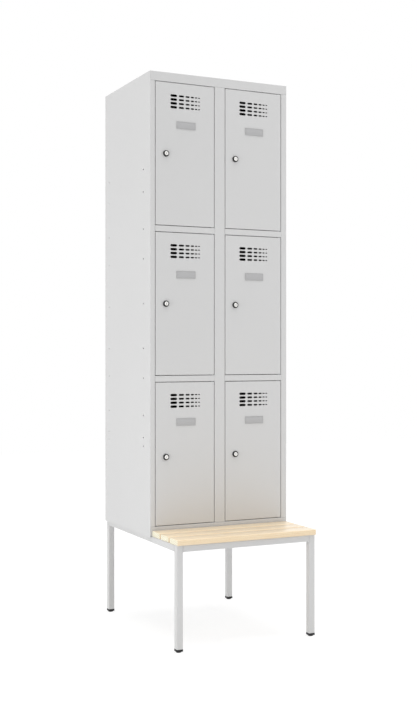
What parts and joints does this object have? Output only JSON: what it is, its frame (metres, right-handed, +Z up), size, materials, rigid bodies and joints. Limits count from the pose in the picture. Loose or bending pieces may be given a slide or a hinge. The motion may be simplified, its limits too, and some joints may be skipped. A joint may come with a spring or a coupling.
{
  "type": "locker with bench",
  "caption": "Steel clothes locker with flush vented doors on a square-tube underframe with a slatted bench in front.",
  "frame": {"origin": "on the floor, under the middle of the bounding box", "axes": "+Z up, +X to the right seen from the front, and the doors and the bench face -Y"},
  "size_m": [0.6, 0.7456, 2.1865],
  "materials": {
    "painted_steel": "light grey powder coat, satin",
    "lacquered_beech": "clear satin lacquer on beech",
    "black_plastic": "moulded, satin",
    "grey_plastic": "moulded, satin",
    "nickel_plated_steel": "bright nickel plate",
    "zinc_plated_steel": "dull zinc plate"
  },
  "bodies": {
    "cabinet": {"top_panel": "painted_steel", "base_panel": "painted_steel", "back_panel": "painted_steel", "centre_partition": "painted_steel", "side_panel_left": "painted_steel", "shelf_upper_left": "painted_steel", "shelf_middle_left": "painted_steel", "side_panel_right": "painted_steel", "shelf_upper_right": "painted_steel", "shelf_middle_right": "painted_steel", "hinge_pin_top_left": "zinc_plated_steel", "hinge_pin_below_upper_left": "zinc_plated_steel", "hinge_pin_below_middle_left": "zinc_plated_steel", "hinge_pin_bottom_left": "zinc_plated_steel", "hinge_pin_top_right": "zinc_plated_steel", "hinge_pin_below_upper_right": "zinc_plated_steel", "hinge_pin_below_middle_right": "zinc_plated_steel", "hinge_pin_bottom_right": "zinc_plated_steel", "leg_front_left": "painted_steel", "leg_rear_left": "painted_steel", "side_rail_left": "painted_steel", "leg_front_right": "painted_steel", "leg_rear_right": "painted_steel", "side_rail_right": "painted_steel", "front_rail": "painted_steel", "rear_rail": "painted_steel", "glide_front_left": "black_plastic", "glide_rear_left": "black_plastic", "glide_front_right": "black_plastic", "glide_rear_right": "black_plastic", "bench_slat_1": "lacquered_beech", "bench_slat_2": "lacquered_beech", "bench_slat_3": "lacquered_beech"},
    "door_upper_left": {"door_upper_left": "painted_steel", "lock_housing_upper_left": "black_plastic", "label_holder_upper_left": "grey_plastic"},
    "lock_upper_left": {"lock_plug_upper_left": "nickel_plated_steel"},
    "door_middle_left": {"door_middle_left": "painted_steel", "lock_housing_middle_left": "black_plastic", "label_holder_middle_left": "grey_plastic"},
    "lock_middle_left": {"lock_plug_middle_left": "nickel_plated_steel"},
    "door_lower_left": {"door_lower_left": "painted_steel", "lock_housing_lower_left": "black_plastic", "label_holder_lower_left": "grey_plastic"},
    "lock_lower_left": {"lock_plug_lower_left": "nickel_plated_steel"},
    "door_upper_right": {"door_upper_right": "painted_steel", "lock_housing_upper_right": "black_plastic", "label_holder_upper_right": "grey_plastic"},
    "lock_upper_right": {"lock_plug_upper_right": "nickel_plated_steel"},
    "door_middle_right": {"door_middle_right": "painted_steel", "lock_housing_middle_right": "black_plastic", "label_holder_middle_right": "grey_plastic"},
    "lock_middle_right": {"lock_plug_middle_right": "nickel_plated_steel"},
    "door_lower_right": {"door_lower_right": "painted_steel", "lock_housing_lower_right": "black_plastic", "label_holder_lower_right": "grey_plastic"},
    "lock_lower_right": {"lock_plug_lower_right": "nickel_plated_steel"}
  },
  "joints": [
    {"name": "door_hinge_upper_left", "type": "hinge", "parent": "cabinet", "child": "door_upper_left", "pos_m": [-0.03381, -0.12175, 1.59413], "axis": [0, 0, 1], "range_deg": [0, 110]},
    {"name": "door_hinge_middle_left", "type": "hinge", "parent": "cabinet", "child": "door_middle_left", "pos_m": [-0.03381, -0.12175, 1.01247], "axis": [0, 0, 1], "range_deg": [0, 110]},
    {"name": "door_hinge_lower_left", "type": "hinge", "parent": "cabinet", "child": "door_lower_left", "pos_m": [-0.03381, -0.12175, 0.4308], "axis": [0, 0, 1], "range_deg": [0, 110]},
    {"name": "door_hinge_upper_right", "type": "hinge", "parent": "cabinet", "child": "door_upper_right", "pos_m": [0.26619, -0.12175, 1.59413], "axis": [0, 0, 1], "range_deg": [0, 110]},
    {"name": "door_hinge_middle_right", "type": "hinge", "parent": "cabinet", "child": "door_middle_right", "pos_m": [0.26619, -0.12175, 1.01247], "axis": [0, 0, 1], "range_deg": [0, 110]},
    {"name": "door_hinge_lower_right", "type": "hinge", "parent": "cabinet", "child": "door_lower_right", "pos_m": [0.26619, -0.12175, 0.4308], "axis": [0, 0, 1], "range_deg": [0, 110]},
    {"name": "lock_turn_upper_left", "type": "hinge", "parent": "door_upper_left", "child": "lock_upper_left", "pos_m": [-0.234, -0.12725, 1.87092], "axis": [0, 1, 0], "range_deg": [0, 90]},
    {"name": "lock_turn_middle_left", "type": "hinge", "parent": "door_middle_left", "child": "lock_middle_left", "pos_m": [-0.234, -0.12725, 1.28925], "axis": [0, 1, 0], "range_deg": [0, 90]},
    {"name": "lock_turn_lower_left", "type": "hinge", "parent": "door_lower_left", "child": "lock_lower_left", "pos_m": [-0.234, -0.12725, 0.69558], "axis": [0, 1, 0], "range_deg": [0, 90]},
    {"name": "lock_turn_upper_right", "type": "hinge", "parent": "door_upper_right", "child": "lock_upper_right", "pos_m": [0.066, -0.12725, 1.87092], "axis": [0, 1, 0], "range_deg": [0, 90]},
    {"name": "lock_turn_middle_right", "type": "hinge", "parent": "door_middle_right", "child": "lock_middle_right", "pos_m": [0.066, -0.12725, 1.28925], "axis": [0, 1, 0], "range_deg": [0, 90]},
    {"name": "lock_turn_lower_right", "type": "hinge", "parent": "door_lower_right", "child": "lock_lower_right", "pos_m": [0.066, -0.12725, 0.69558], "axis": [0, 1, 0], "range_deg": [0, 90]}
  ]
}
